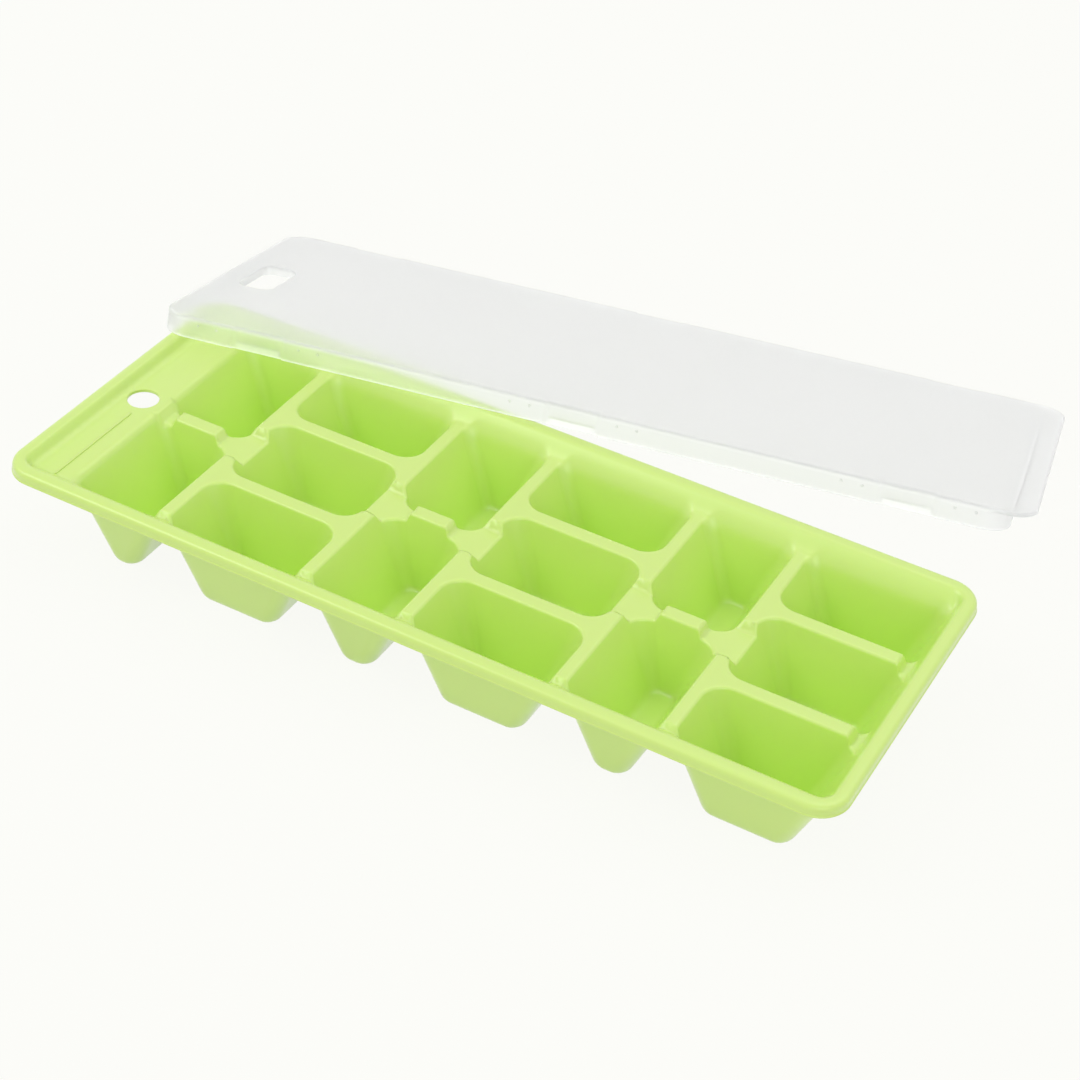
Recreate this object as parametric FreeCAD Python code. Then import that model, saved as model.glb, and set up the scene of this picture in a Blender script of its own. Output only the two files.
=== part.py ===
import FreeCAD, Part
import math
import os

# Ice cube tray with a clip-on lid.  Millimetres, +Z up, X along the tray.
# Origin: centre of the flat base of the middle cup in the fourth row, on the surface that the tray stands on.
# The hanging ledge is at the -X end.  The lid lies askew, leaning on the far rim, as it is when just taken off.

# ---------------------------------------------------------------- driving dimensions: tray
TRAY_HEIGHT = 31.0          # rim top above the surface that the cups stand on
WALL = 1.3                  # moulded wall of the tray, measured square to it
RIM_WIDTH = 4.7             # rim, outside edge to inside edge
RIM_SKIRT = 3.8             # lip that hangs from the rim's outside edge
RIM_CORNER = 10.0           # outside corner of the rim in plan
RIM_ROUNDING = 1.8          # rounding along the rim's outside top edge
RIM_SOFTENING = 0.7         # rounding along the rim's inside top edge
DRAFT_ALONG_DEG = 22.8      # lean of the cell walls that cross the tray, so that the cubes drop out
DRAFT_ACROSS_DEG = 8.0      # lean of the cell walls that run along it
CELL_LONG = 46.0            # rows of three cells: their mouths along the tray, level with the rib tops
CELL_SHORT = 30.0           # rows of two cells
CELL_FIRST = 28.7           # the row beside the ledge
RIB_LAND = 4.0              # ribs across the tray, between the mouths of the cells
CROSS_RIB_LAND = 5.0        # ribs along the tray
MIDDLE_CELL = 30.0          # middle cell of a row of three, across the tray
SIDE_CELL = 25.6            # outer cells of that row
CELL_CORNER = 5.0           # rounded upright corners of a cell
CORNER_SHARE = 0.4          # that corner's largest share of a narrow cell's floor
FLOOR_BEVEL = 1.5           # bevel between a cell's wall and its floor
RIB_DROP = 4.4              # rib tops below the rim's top
RIB_SOFTENING = 0.6         # bevelled edge along the rib tops
SIDE_SLOPE = 4.7            # sloping shoulder from the rim down to the side cells, across the tray
OVERFLOW_DEPTH = 3.0        # overflow notches below the rib tops
OVERFLOW_HALF = 7.5         # half of a notch's level floor, across the tray
OVERFLOW_STEP = 1.5         # length of the sloping step out of a notch
NOTCH_CORNER = 1.0
BAR_LENGTH = 12.0           # raised middle of the rib in a row of two
FIRST_BAR_LENGTH = 14.8     # the same in the row beside the ledge
FIRST_BAR_SETBACK = 5.7     # from the ledge to that bar
SADDLE_FLOOR = 2.4          # level floor of the notch at the near end of every rib across the tray
END_SADDLE_FLOOR = 3.6      # level floor of the notches at the far end of the tray
LEDGE_DROP = 3.5            # hanging ledge below the rim's top
LEDGE_WIDTH = 16.4          # ledge from the rim's inside edge to the first cells
HANG_HOLE_RADIUS = 5.0
HANG_HOLE_SETBACK = 7.9     # hole's centre from the rim's inside edge
LINE_LENGTH = 37.5          # plain raised line on the ledge
LINE_WIDTH = 0.8
LINE_HEIGHT = 0.4
LINE_TO_HOLE = 3.5          # gap between the line's end and the hole
LINE_SETBACK = 9.5          # line from the rim's inside edge

# ---------------------------------------------------------------- driving dimensions: lid
LID_WALL = 1.2
LID_CLEARANCE = 0.3         # lid to the tray's rim, when the lid is on
LID_SKIRT = 7.4             # lid's top face to the bottom of its skirt
LID_TAB = 7.0               # overhang of the lid's top past its skirt, at the +X end, to lift it by
LID_CORNER = 9.0            # plan corners of the lid
LID_SOFTENING = 0.6         # bevel along the lid's top edge
CLIP_COUNT = 3              # clips along each long side
FIRST_CLIP_SETBACK = 34.2   # first clip from the skirt's -X end
LAST_CLIP_SETBACK = 31.2    # last clip from the skirt's +X end
RECESS_LENGTH = 17.2        # shallow recess outside each clip, where the thinner skirt can give
RECESS_DEPTH = 0.7
HOOK_LENGTH = 14.4
HOOK_REACH = 0.8            # hook's reach inwards from the skirt
HOOK_HEIGHT = 1.9
NUB_RADIUS = 0.5            # small nubs beside the clips
NUB_STANDS_OUT = 0.3
NUB_SPACING = 6.5
NUB_TO_RECESS = 5.6
SLOT_LENGTH = 28.0          # hanging slot in the lid, across it
SLOT_WIDTH = 12.0
SLOT_SETBACK = 14.0         # slot's middle from the lid's -X end
COLLAR_DEPTH = 2.0          # collar that hangs from the slot's edge
COLLAR_WALL = 1.0
LID_YAW_DEG = 11.0          # lid's long side turned from the tray's
LID_REST_GAP = 1.15         # lid's skirt above the rim that it leans over
LID_PAST_END = 1.9          # lid's low corner past the tray's ledge end
LID_ALONG_END = 27.6        # that corner from the tray's middle line

# ---------------------------------------------------------------- sizes worked out from them
OVER = 5.0                                          # how far cutting tools run past the faces they cut
LEAN_X = math.tan(math.radians(DRAFT_ALONG_DEG))
LEAN_Y = math.tan(math.radians(DRAFT_ACROSS_DEG))
SIDE_LEAN = SIDE_SLOPE / RIB_DROP
WALL_X = WALL / math.cos(math.atan(LEAN_X))         # wall measured level, along the tray
WALL_Y = WALL / math.cos(math.atan(LEAN_Y))         # wall measured level, across the tray
SIDE_WALL = WALL / math.cos(math.atan(SIDE_LEAN))   # the same in the sloping shoulder
RIB_TOP = TRAY_HEIGHT - RIB_DROP
NOTCH_FLOOR = RIB_TOP - OVERFLOW_DEPTH
LEDGE_TOP = TRAY_HEIGHT - LEDGE_DROP
HALF_RIB = RIB_LAND / 2
HALF_CROSS = CROSS_RIB_LAND / 2
PITCH_SHORT = CELL_SHORT + RIB_LAND
PITCH_LONG = CELL_LONG + RIB_LAND
RIB_D = PITCH_LONG / 2
RIB_C = -RIB_D
RIB_B = RIB_C - PITCH_SHORT
RIB_A = RIB_B - PITCH_LONG
RIB_E = RIB_D + PITCH_SHORT
RIBS = [RIB_A, RIB_B, RIB_C, RIB_D, RIB_E]
FIRST_WALL_X = RIB_A - HALF_RIB - CELL_FIRST
LAST_WALL_X = RIB_E + HALF_RIB + CELL_LONG
SIDE_WALL_Y = MIDDLE_CELL / 2 + CROSS_RIB_LAND + SIDE_CELL
CROSS_RIB_Y = MIDDLE_CELL / 2 + HALF_CROSS
RIM_IN_Y = SIDE_WALL_Y + SIDE_SLOPE
RIM_IN_RIGHT = LAST_WALL_X + RIB_DROP * LEAN_X
RIM_IN_LEFT = FIRST_WALL_X - LEDGE_WIDTH
RIM_IN_CORNER = RIM_CORNER - RIM_WIDTH
RIM_IN = (RIM_IN_LEFT, RIM_IN_RIGHT, -RIM_IN_Y, RIM_IN_Y)
DECK_PLAN = (FIRST_WALL_X, LAST_WALL_X, -SIDE_WALL_Y, SIDE_WALL_Y)
HOLE_X = RIM_IN_LEFT + HANG_HOLE_SETBACK


# ---------------------------------------------------------------- building blocks
def grown(box, by_x, by_y):
    """The plan rectangle with each side moved out."""
    x0, x1, y0, y1 = box
    return (x0 - by_x, x1 + by_x, y0 - by_y, y1 + by_y)


def outline(box, corner, z):
    """Closed level outline at height z: a rectangle with round corners."""
    x0, x1, y0, y1 = box
    k = corner * (1 - math.sqrt(0.5))
    ends = [((x0 + corner, y0), (x1 - corner, y0)), ((x1, y0 + corner), (x1, y1 - corner)),
            ((x1 - corner, y1), (x0 + corner, y1)), ((x0, y1 - corner), (x0, y0 + corner))]
    middles = [(x1 - k, y0 + k), (x1 - k, y1 - k), (x0 + k, y1 - k), (x0 + k, y0 + k)]
    edges = []
    for i, (start, end) in enumerate(ends):
        after = ends[(i + 1) % 4][0]
        points = [FreeCAD.Vector(x, y, z) for x, y in (start, end, middles[i], after)]
        edges.append(Part.LineSegment(points[0], points[1]).toShape())
        edges.append(Part.Arc(points[1], points[2], points[3]).toShape())
    return Part.Wire(edges)


def block(box, corner, z0, z1):
    """Upright solid on a rectangle with round corners."""
    return Part.makeLoft([outline(box, corner, z0), outline(box, corner, z1)], True, True)


def frustum(low, z0, high, z1, corner):
    """Solid from one level rectangle up to another, with its four leaning edges rounded."""
    solid = Part.makeWedge(low[0], z0, -low[3], -high[3], high[0], low[1], z1, -low[2], -high[2], high[1])
    solid.rotate(FreeCAD.Vector(), FreeCAD.Vector(1, 0, 0), 90)
    leaning = [edge for edge in solid.Edges if edge.BoundBox.ZLength > (z1 - z0) / 2]
    return solid.makeFillet(corner, leaning)


def box_solid(x0, x1, y0, y1, z0, z1):
    """Plain box from its six faces."""
    return Part.makeBox(x1 - x0, y1 - y0, z1 - z0, FreeCAD.Vector(x0, y0, z0))


def edges_at(shape, z):
    """Edges of a shape that lie level at height z."""
    def level(edge):
        reach = edge.BoundBox
        return abs(reach.ZMin - z) < 1e-4 and abs(reach.ZMax - z) < 1e-4
    return [edge for edge in shape.Edges if level(edge)]


# ---------------------------------------------------------------- tray
def cell_plans():
    """Plan of every cell's mouth, level with the rib tops, row by row from the ledge."""
    lefts = [FIRST_WALL_X] + [x + HALF_RIB for x in RIBS]
    rights = [x - HALF_RIB for x in RIBS] + [LAST_WALL_X]
    pair = [(-SIDE_WALL_Y, -HALF_CROSS), (HALF_CROSS, SIDE_WALL_Y)]
    inner = CROSS_RIB_Y + HALF_CROSS
    three = [(-SIDE_WALL_Y, -inner), (-MIDDLE_CELL / 2, MIDDLE_CELL / 2), (inner, SIDE_WALL_Y)]
    plans = []
    for row, (left, right) in enumerate(zip(lefts, rights)):
        plans += [(left, right, y0, y1) for y0, y1 in (three if row % 2 else pair)]
    return plans


def cell_corner(plan):
    """Rounding of a cell's upright corners, less in a cell with a narrow floor."""
    narrow = plan[1] - plan[0] - 2 * (RIB_TOP - WALL) * LEAN_X
    return min(CELL_CORNER, CORNER_SHARE * narrow)


def leaning_room(plan, z0, z1, corner):
    """Room between two heights whose walls lean as a cell's do; the plan is level with the rib tops."""
    low, high = z0 - RIB_TOP, z1 - RIB_TOP
    return frustum(grown(plan, low * LEAN_X, low * LEAN_Y), z0,
                   grown(plan, high * LEAN_X, high * LEAN_Y), z1, corner)


def cell_hollow(plan):
    """Room inside one cell, from its bevelled floor past the rib tops."""
    room = leaning_room(plan, WALL, LEDGE_TOP, cell_corner(plan))
    return room.makeChamfer(FLOOR_BEVEL, edges_at(room, WALL))


def cell_cup(plan):
    """Outside of one cup, a wall's thickness larger than its room."""
    cup = leaning_room(grown(plan, WALL_X, WALL_Y), 0.0, RIB_TOP, cell_corner(plan) + WALL / 2)
    return cup.makeChamfer(FLOOR_BEVEL, edges_at(cup, 0.0))


def mouth_bevel(plan):
    """Block whose bevelled foot makes the bevel along the rib tops round one cell's mouth."""
    deep = 2.2 * RIB_SOFTENING
    brim = block(grown(plan, RIB_SOFTENING, RIB_SOFTENING), cell_corner(plan) + RIB_SOFTENING,
                 RIB_TOP - deep, RIB_TOP + OVER)
    return brim.makeChamfer(deep, edges_at(brim, RIB_TOP - deep))


def notch_plans():
    """Level floors of the notches in the ribs, as plan rectangles."""
    plans = []
    past_rib = HALF_RIB + CELL_CORNER
    for i, x in enumerate(RIBS):
        to_bar = (CELL_SHORT - BAR_LENGTH) / 2 + HALF_RIB - OVERFLOW_STEP
        if i == 0:
            to_bar = CELL_FIRST - FIRST_BAR_SETBACK - FIRST_BAR_LENGTH + HALF_RIB - OVERFLOW_STEP
        bar_before = i % 2 == 0
        x0 = x - (to_bar if bar_before else past_rib)
        x1 = x + (past_rib if bar_before else to_bar)
        plans.append((x0, x1, -OVERFLOW_HALF, OVERFLOW_HALF))
    half_saddle = HALF_RIB + CELL_CORNER
    for x in RIBS:
        plans.append((x - half_saddle, x + half_saddle, -SIDE_WALL_Y, -SIDE_WALL_Y + SADDLE_FLOOR))
    half_saddle = HALF_CROSS + CELL_CORNER
    for y in (-CROSS_RIB_Y, CROSS_RIB_Y):
        plans.append((LAST_WALL_X - END_SADDLE_FLOOR, LAST_WALL_X, y - half_saddle, y + half_saddle))
    plans.append((FIRST_WALL_X, FIRST_WALL_X + FIRST_BAR_SETBACK - OVERFLOW_STEP, -half_saddle, half_saddle))
    return plans


def notch(plan, below, larger):
    """Solid of one notch with a sloping step round it; below and larger make its outside instead."""
    floor = grown(plan, larger, larger)
    mouth = grown(floor, OVERFLOW_STEP, OVERFLOW_STEP)
    return frustum(floor, NOTCH_FLOOR - below, mouth, RIB_TOP, NOTCH_CORNER)


def shoulder(z, extra_x, extra_y):
    """Plan of the room above the cells at height z, made larger by the extras."""
    drop = TRAY_HEIGHT - z
    x0, x1, y0, y1 = RIM_IN
    lower = drop * SIDE_LEAN
    return (x0 - extra_x, x1 - drop * LEAN_X + extra_x, y0 + lower - extra_y, y1 - lower + extra_y)


def basin(left, z0, z1, extra_x, extra_y, corner):
    """Room from z0 up to z1 inside the sloping shoulders, from the given X to the far end."""
    low, high = shoulder(z0 - OVER, extra_x, extra_y), shoulder(z1 + OVER, extra_x, extra_y)
    left = (left - extra_x,)
    whole = frustum(left + low[1:], z0 - OVER, left + high[1:], z1 + OVER, corner)
    return whole.common(box_solid(*high, z0, z1))


def tray():
    """The tray: fifteen cups hanging from a ribbed deck, in a rim with a hanging ledge at one end."""
    rim_box = grown(RIM_IN, RIM_WIDTH, RIM_WIDTH)
    rim = block(rim_box, RIM_CORNER, TRAY_HEIGHT - RIM_SKIRT, TRAY_HEIGHT)
    rim = rim.makeFillet(RIM_ROUNDING, edges_at(rim, TRAY_HEIGHT))
    under = block(grown(rim_box, -WALL, -WALL), RIM_CORNER - WALL,
                  TRAY_HEIGHT - RIM_SKIRT - OVER, TRAY_HEIGHT - WALL)
    outer_corner = RIM_IN_CORNER + WALL
    ledge_shell = basin(RIM_IN_LEFT, LEDGE_TOP - WALL, TRAY_HEIGHT, WALL_X, SIDE_WALL, outer_corner)
    deck_shell = basin(FIRST_WALL_X, RIB_TOP - WALL, LEDGE_TOP, WALL_X, SIDE_WALL, outer_corner)
    plans = cell_plans()
    shell = rim.cut(under).fuse([ledge_shell, deck_shell] + [cell_cup(plan) for plan in plans])
    sumps = Part.makeCompound([notch(plan, WALL, WALL) for plan in notch_plans()])
    sump_limit = leaning_room(grown(DECK_PLAN, WALL_X, WALL_Y), NOTCH_FLOOR - WALL, RIB_TOP, outer_corner)
    shell = shell.fuse(sump_limit.common(sumps))

    lip = RIM_SOFTENING
    opening = block(grown(RIM_IN, lip, lip), RIM_IN_CORNER + lip, TRAY_HEIGHT - lip, TRAY_HEIGHT + OVER)
    opening = opening.makeChamfer(lip, edges_at(opening, TRAY_HEIGHT - lip))
    room = basin(RIM_IN_LEFT, LEDGE_TOP, TRAY_HEIGHT, 0, 0, RIM_IN_CORNER)
    deck_room = basin(FIRST_WALL_X, RIB_TOP, LEDGE_TOP, 0, 0, RIM_IN_CORNER)
    room = room.fuse([deck_room, opening] + [cell_hollow(plan) for plan in plans])
    notches = Part.makeCompound([notch(plan, 0, 0) for plan in notch_plans()])
    bevels = Part.makeCompound([mouth_bevel(plan) for plan in plans])
    notch_limit = leaning_room(DECK_PLAN, NOTCH_FLOOR, RIB_TOP, RIM_IN_CORNER)
    room = room.fuse([notch_limit.common(notches), notch_limit.common(bevels)])
    hole = Part.makeCylinder(HANG_HOLE_RADIUS, 2 * OVER, FreeCAD.Vector(HOLE_X, 0, LEDGE_TOP - OVER))
    line_x = RIM_IN_LEFT + LINE_SETBACK
    line_y = -HANG_HOLE_RADIUS - LINE_TO_HOLE
    line = box_solid(line_x - LINE_WIDTH / 2, line_x + LINE_WIDTH / 2, line_y - LINE_LENGTH, line_y,
                     LEDGE_TOP - WALL / 2, LEDGE_TOP + LINE_HEIGHT)
    return shell.cut(room).cut(hole).fuse(line).removeSplitter()


# ---------------------------------------------------------------- lid
LID_IN = grown(RIM_IN, RIM_WIDTH + LID_CLEARANCE, RIM_WIDTH + LID_CLEARANCE)
LID_OUT = grown(LID_IN, LID_WALL, LID_WALL)
LID_TOP = TRAY_HEIGHT + LID_WALL                    # the lid's underside seats on the rim's top
LID_FOOT = LID_TOP - LID_SKIRT
HOOK_TOP = TRAY_HEIGHT - RIM_SKIRT - LID_CLEARANCE  # hooks catch under the rim's lip
SLOT_X = LID_OUT[0] + SLOT_SETBACK
FIRST_CLIP_X = LID_OUT[0] + FIRST_CLIP_SETBACK
CLIP_PITCH = (LID_OUT[1] - LAST_CLIP_SETBACK - FIRST_CLIP_X) / (CLIP_COUNT - 1)
CLIPS_X = [FIRST_CLIP_X + i * CLIP_PITCH for i in range(CLIP_COUNT)]


def hook(x, side):
    """Snap hook on the inside of the skirt: flat on top to catch the rim, sloping below to ride over it."""
    face = side * LID_IN[3]
    tip = face - side * HOOK_REACH
    root = face + side * (LID_WALL - RECESS_DEPTH) / 2
    v = FreeCAD.Vector
    x0 = x - HOOK_LENGTH / 2
    profile = Part.makePolygon([v(x0, root, HOOK_TOP), v(x0, tip, HOOK_TOP), v(x0, tip, HOOK_TOP - HOOK_HEIGHT / 3),
                                v(x0, face, HOOK_TOP - HOOK_HEIGHT), v(x0, root, HOOK_TOP - HOOK_HEIGHT),
                                v(x0, root, HOOK_TOP)])
    return Part.Face(profile).extrude(v(HOOK_LENGTH, 0, 0))


def recess(x, side):
    """Shallow recess in the outside of the skirt and the edge of the top, at a clip."""
    outer = side * (LID_OUT[3] + OVER)
    inner = side * (LID_OUT[3] - RECESS_DEPTH)
    return box_solid(x - RECESS_LENGTH / 2, x + RECESS_LENGTH / 2, min(outer, inner), max(outer, inner),
                     LID_FOOT - OVER, LID_TOP + OVER)


def nubs(x, side):
    """Four small six-sided nubs on the outside of the skirt, two each side of a clip."""
    first = RECESS_LENGTH / 2 + NUB_TO_RECESS
    y = side * (LID_OUT[3] - LID_WALL / 2)
    z = (HOOK_TOP + LID_TOP) / 2
    reach = FreeCAD.Vector(0, side * (LID_WALL / 2 + NUB_STANDS_OUT), 0)
    found = []
    for step in (-first - NUB_SPACING, -first, first, first + NUB_SPACING):
        turns = [math.radians(60 * i) for i in range(7)]
        rim = [FreeCAD.Vector(x + step + NUB_RADIUS * math.cos(t), y, z + NUB_RADIUS * math.sin(t)) for t in turns]
        found.append(Part.Face(Part.makePolygon(rim)).extrude(reach))
    return found


def lid_when_on():
    """The lid as it sits on the tray."""
    top_box = (LID_OUT[0], LID_OUT[1] + LID_TAB, LID_OUT[2], LID_OUT[3])
    skirt = block(LID_OUT, LID_CORNER, LID_FOOT, LID_TOP - LID_WALL / 2)
    top = block(top_box, LID_CORNER, LID_TOP - LID_WALL, LID_TOP)
    top = top.makeChamfer(LID_SOFTENING, edges_at(top, LID_TOP))
    room = block(LID_IN, LID_CORNER - LID_WALL, LID_FOOT - OVER, TRAY_HEIGHT)
    slot_box = (SLOT_X - SLOT_WIDTH / 2, SLOT_X + SLOT_WIDTH / 2, -SLOT_LENGTH / 2, SLOT_LENGTH / 2)
    slot_corner = SLOT_WIDTH * 0.4
    collar = block(grown(slot_box, COLLAR_WALL, COLLAR_WALL), slot_corner + COLLAR_WALL,
                   TRAY_HEIGHT - COLLAR_DEPTH, TRAY_HEIGHT + LID_WALL / 2)
    slot = block(slot_box, slot_corner, TRAY_HEIGHT - COLLAR_DEPTH - OVER, LID_TOP + OVER)
    places = [(x, side) for x in CLIPS_X for side in (-1, 1)]
    body = skirt.fuse(top).cut(room).cut(Part.makeCompound([recess(*place) for place in places]))
    extra = [collar] + [hook(*place) for place in places]
    for place in places:
        extra += nubs(*place)
    return body.fuse(extra).cut(slot).removeSplitter()


def lid():
    """The lid taken off: far side of its skirt on the table, near side leaning over the tray's far rim."""
    width = LID_OUT[3] - LID_OUT[2]
    rise = TRAY_HEIGHT + LID_REST_GAP
    lean = math.asin(rise / width)
    x_axis, z_axis = FreeCAD.Vector(1, 0, 0), FreeCAD.Vector(0, 0, 1)
    shape = lid_when_on()
    shape.translate(FreeCAD.Vector(-LID_OUT[0], -LID_OUT[2], -LID_FOOT))
    shape.rotate(FreeCAD.Vector(), x_axis, -math.degrees(lean))
    shape.rotate(FreeCAD.Vector(), z_axis, LID_YAW_DEG)
    shape.translate(FreeCAD.Vector(RIM_IN_LEFT - RIM_WIDTH - LID_PAST_END, LID_ALONG_END, rise))
    return shape


parts = {"tray": tray(), "lid": lid()}
os.makedirs("parts", exist_ok=True)
for node, shape in parts.items():
    shape.exportStep("parts/" + node + ".step")
    print(node, shape.isValid(), len(shape.Solids), round(shape.Volume), shape.BoundBox)
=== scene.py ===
"""Lime green ice cube tray with its frosted lid taken off and leaning on the tray's long edge.

Lengths are millimetres until a mesh is made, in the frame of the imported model: X along the tray away from
its hanging ledge, Y across it towards the lid, Z up from the surface that it stands on.
"""

import logging
import math
from collections.abc import Callable
from dataclasses import dataclass, field
from enum import Enum

import bmesh
import bpy
import numpy as np
from mathutils import Matrix, Vector
from mathutils.geometry import delaunay_2d_cdt

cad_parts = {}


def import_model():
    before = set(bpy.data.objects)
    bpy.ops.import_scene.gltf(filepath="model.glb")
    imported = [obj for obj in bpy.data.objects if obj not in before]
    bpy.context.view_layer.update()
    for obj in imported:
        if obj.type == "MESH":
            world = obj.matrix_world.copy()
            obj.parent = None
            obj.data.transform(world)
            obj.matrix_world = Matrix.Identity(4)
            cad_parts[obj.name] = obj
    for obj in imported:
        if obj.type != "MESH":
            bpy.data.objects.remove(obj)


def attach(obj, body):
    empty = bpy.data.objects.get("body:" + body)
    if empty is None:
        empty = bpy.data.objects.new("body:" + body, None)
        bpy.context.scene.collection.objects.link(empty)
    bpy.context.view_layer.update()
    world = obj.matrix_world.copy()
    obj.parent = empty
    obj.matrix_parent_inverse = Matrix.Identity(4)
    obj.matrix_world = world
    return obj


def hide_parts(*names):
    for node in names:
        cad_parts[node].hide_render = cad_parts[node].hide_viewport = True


Array = np.ndarray
Four = tuple[float, float, float, float]
MM = 0.001
LOG = logging.getLogger("ice_tray")


# ---- numbers and shapes
def soft_step(t: Array) -> Array:
    """Smooth ramp: 0 below t = 0, 1 above t = 1, and 3t^2 - 2t^3 between."""
    t = np.clip(t, 0.0, 1.0)
    return t * t * (3.0 - 2.0 * t)


def soft_max(a: Array, b: Array, blend: float) -> Array:
    """The larger of two heights, with the crease between them rounded off over the blend length."""
    return 0.5 * (a + b + np.sqrt((a - b) ** 2 + blend * blend))


@dataclass(frozen=True)
class Plan:
    """Level rectangle with round corners, such as the mouth of a cell."""

    x0: float
    x1: float
    y0: float
    y1: float
    corner: float

    def grown(self, by_x: float, by_y: float, corner: float | None = None) -> "Plan":
        """The plan with its sides moved out, and a new corner radius if one is given."""
        kept = self.corner if corner is None else corner
        return Plan(self.x0 - by_x, self.x1 + by_x, self.y0 - by_y, self.y1 + by_y, kept)

    def distance(self, x: Array, y: Array) -> Array:
        """Signed distance from the outline, less than 0 inside it.

        Args:
            x: Along the tray.
            y: Across the tray.

        Returns:
            Length of the part outside the inner rectangle, less the corner radius.
        """
        qx = np.abs(x - (self.x0 + self.x1) / 2) - (self.x1 - self.x0) / 2 + self.corner
        qy = np.abs(y - (self.y0 + self.y1) / 2) - (self.y1 - self.y0) / 2 + self.corner
        outside = np.hypot(np.maximum(qx, 0.0), np.maximum(qy, 0.0))
        return outside + np.minimum(np.maximum(qx, qy), 0.0) - self.corner


@dataclass(frozen=True)
class Loop:
    """Pattern that walks once round any rectangle with round corners, anticlockwise from above.

    A point is the centre, plus side times (half size - corner), plus corner times the outward direction.
    The order is the number of the corner that a point is on, or between two of them on a side.
    """

    side_x: Array
    side_y: Array
    out_x: Array
    out_y: Array
    order: Array

    @staticmethod
    def make(along_x: int, along_y: int, corner: int) -> "Loop":
        """Builds the pattern.

        Args:
            along_x: Points on each side along X.
            along_y: Points on each side along Y.
            corner: Points on each corner.

        Returns:
            The pattern, from the middle of the +X side's low end.
        """
        stretches = []
        signs = [(1, -1), (1, 1), (-1, 1), (-1, -1)]
        for i, (ax, ay) in enumerate(signs):
            nx, ny = signs[(i + 1) % 4]
            t = np.linspace(0.0, 1.0, along_y if ax == nx else along_x, endpoint=False)
            stretches.append(np.array([ax + (nx - ax) * t, ay + (ny - ay) * t, i + 0 * t, i - 1 + t]))
            t = np.linspace(0.0, 1.0, corner, endpoint=False)
            stretches.append(np.array([nx + 0 * t, ny + 0 * t, i + t, i + 0 * t]))
        side_x, side_y, quarters, order = np.concatenate(stretches, axis=1)
        turn = quarters * math.pi / 2
        return Loop(side_x, side_y, np.cos(turn), np.sin(turn), order)

    def points(self, centre: tuple[float, float], half_x: Array, half_y: Array,
               corner: Array) -> tuple[Array, Array]:
        """X and Y of the loop for sizes that may change from point to point or from ring to ring."""
        x = centre[0] + self.side_x * (half_x - corner) + self.out_x * corner
        y = centre[1] + self.side_y * (half_y - corner) + self.out_y * corner
        return x, y

    def by_corner(self, values: Four) -> Array:
        """A size for each point from its values at the corners, anticlockwise from +X +Y."""
        return np.interp(self.order, np.arange(-1, 4), (values[3], *values))

    def by_side(self, x0: float, x1: float, y0: float, y1: float) -> Array:
        """A size for each point from its values on the four sides, blended round the corners."""
        along = np.where(self.out_x > 0, x1, x0) * self.out_x ** 2
        return along + np.where(self.out_y > 0, y1, y0) * self.out_y ** 2

    def on(self, plan: Plan) -> tuple[Array, Array]:
        """X and Y of the loop on one plan."""
        centre = ((plan.x0 + plan.x1) / 2, (plan.y0 + plan.y1) / 2)
        half_x, half_y = (plan.x1 - plan.x0) / 2, (plan.y1 - plan.y0) / 2
        return self.points(centre, half_x, half_y, plan.corner)


class Shell:
    """Vertices and faces gathered for one piece, in millimetres. Points closer than the seam are one."""

    seam = 0.002

    def __init__(self) -> None:
        """Starts empty."""
        self.points: list[Array] = []
        self.faces: list[list[list[int]]] = []
        self.count = 0

    def add(self, points: Array, faces: list[Array], turned: bool = False) -> None:
        """Adds points and the faces on them.

        Args:
            points: One row of x, y, z for each point.
            faces: Arrays of corner numbers, one row for each face.
            turned: Turns the faces over.
        """
        for block in faces:
            block = block[:, ::-1] if turned else block
            self.faces.append((block + self.count).tolist())
        self.points.append(points)
        self.count += len(points)

    def add_rings(self, rings: Array, turned: bool = False, cap: bool = False) -> None:
        """Adds a skin over closed rings of equal length, in order.

        Args:
            rings: Points as ring by point by coordinate.
            turned: Turns the faces over. Without it, rings that go down face their middle.
            cap: Closes the last ring with triangles to its middle.
        """
        ring_count, size, _ = rings.shape
        a = np.arange((ring_count - 1) * size).reshape(ring_count - 1, size)
        b = np.roll(a, -1, axis=1)
        blocks = [np.stack([a, b, b + size, a + size], axis=-1).reshape(-1, 4)]
        points = rings.reshape(-1, 3)
        if cap:
            last = (ring_count - 1) * size + np.arange(size)
            middle = np.full(size, len(points))
            blocks.append(np.stack([last, np.roll(last, -1), middle], axis=-1))
            points = np.vstack([points, rings[-1].mean(axis=0)])
        self.add(points, blocks, turned)

    def build(self, name: str) -> bpy.types.Object:
        """Makes the object, with doubled points merged and smooth shading.

        Args:
            name: Name of the piece.

        Returns:
            The new object, at the origin.
        """
        mesh = bpy.data.meshes.new(name)
        points = np.vstack(self.points) * MM
        mesh.from_pydata(points.tolist(), [], [face for block in self.faces for face in block])
        work = bmesh.new()
        work.from_mesh(mesh)
        bmesh.ops.remove_doubles(work, verts=work.verts, dist=self.seam * MM)
        work.to_mesh(mesh)
        work.free()
        mesh.shade_smooth()
        piece = bpy.data.objects.new(name, mesh)
        bpy.context.scene.collection.objects.link(piece)
        return piece


def bend(a: Array, b: Array, c: Array, steps: int) -> Array:
    """Rounded corner from a to c past b, as a quadratic curve through whole rings at once.

    Args:
        a: First ring.
        b: Ring of the sharp corner.
        c: Last ring.
        steps: Rings after the first.

    Returns:
        The rings from a to c, both included.
    """
    t = np.linspace(0.0, 1.0, steps + 1)[:, None, None]
    return (1 - t) ** 2 * a + 2 * t * (1 - t) * b + t * t * c


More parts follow.
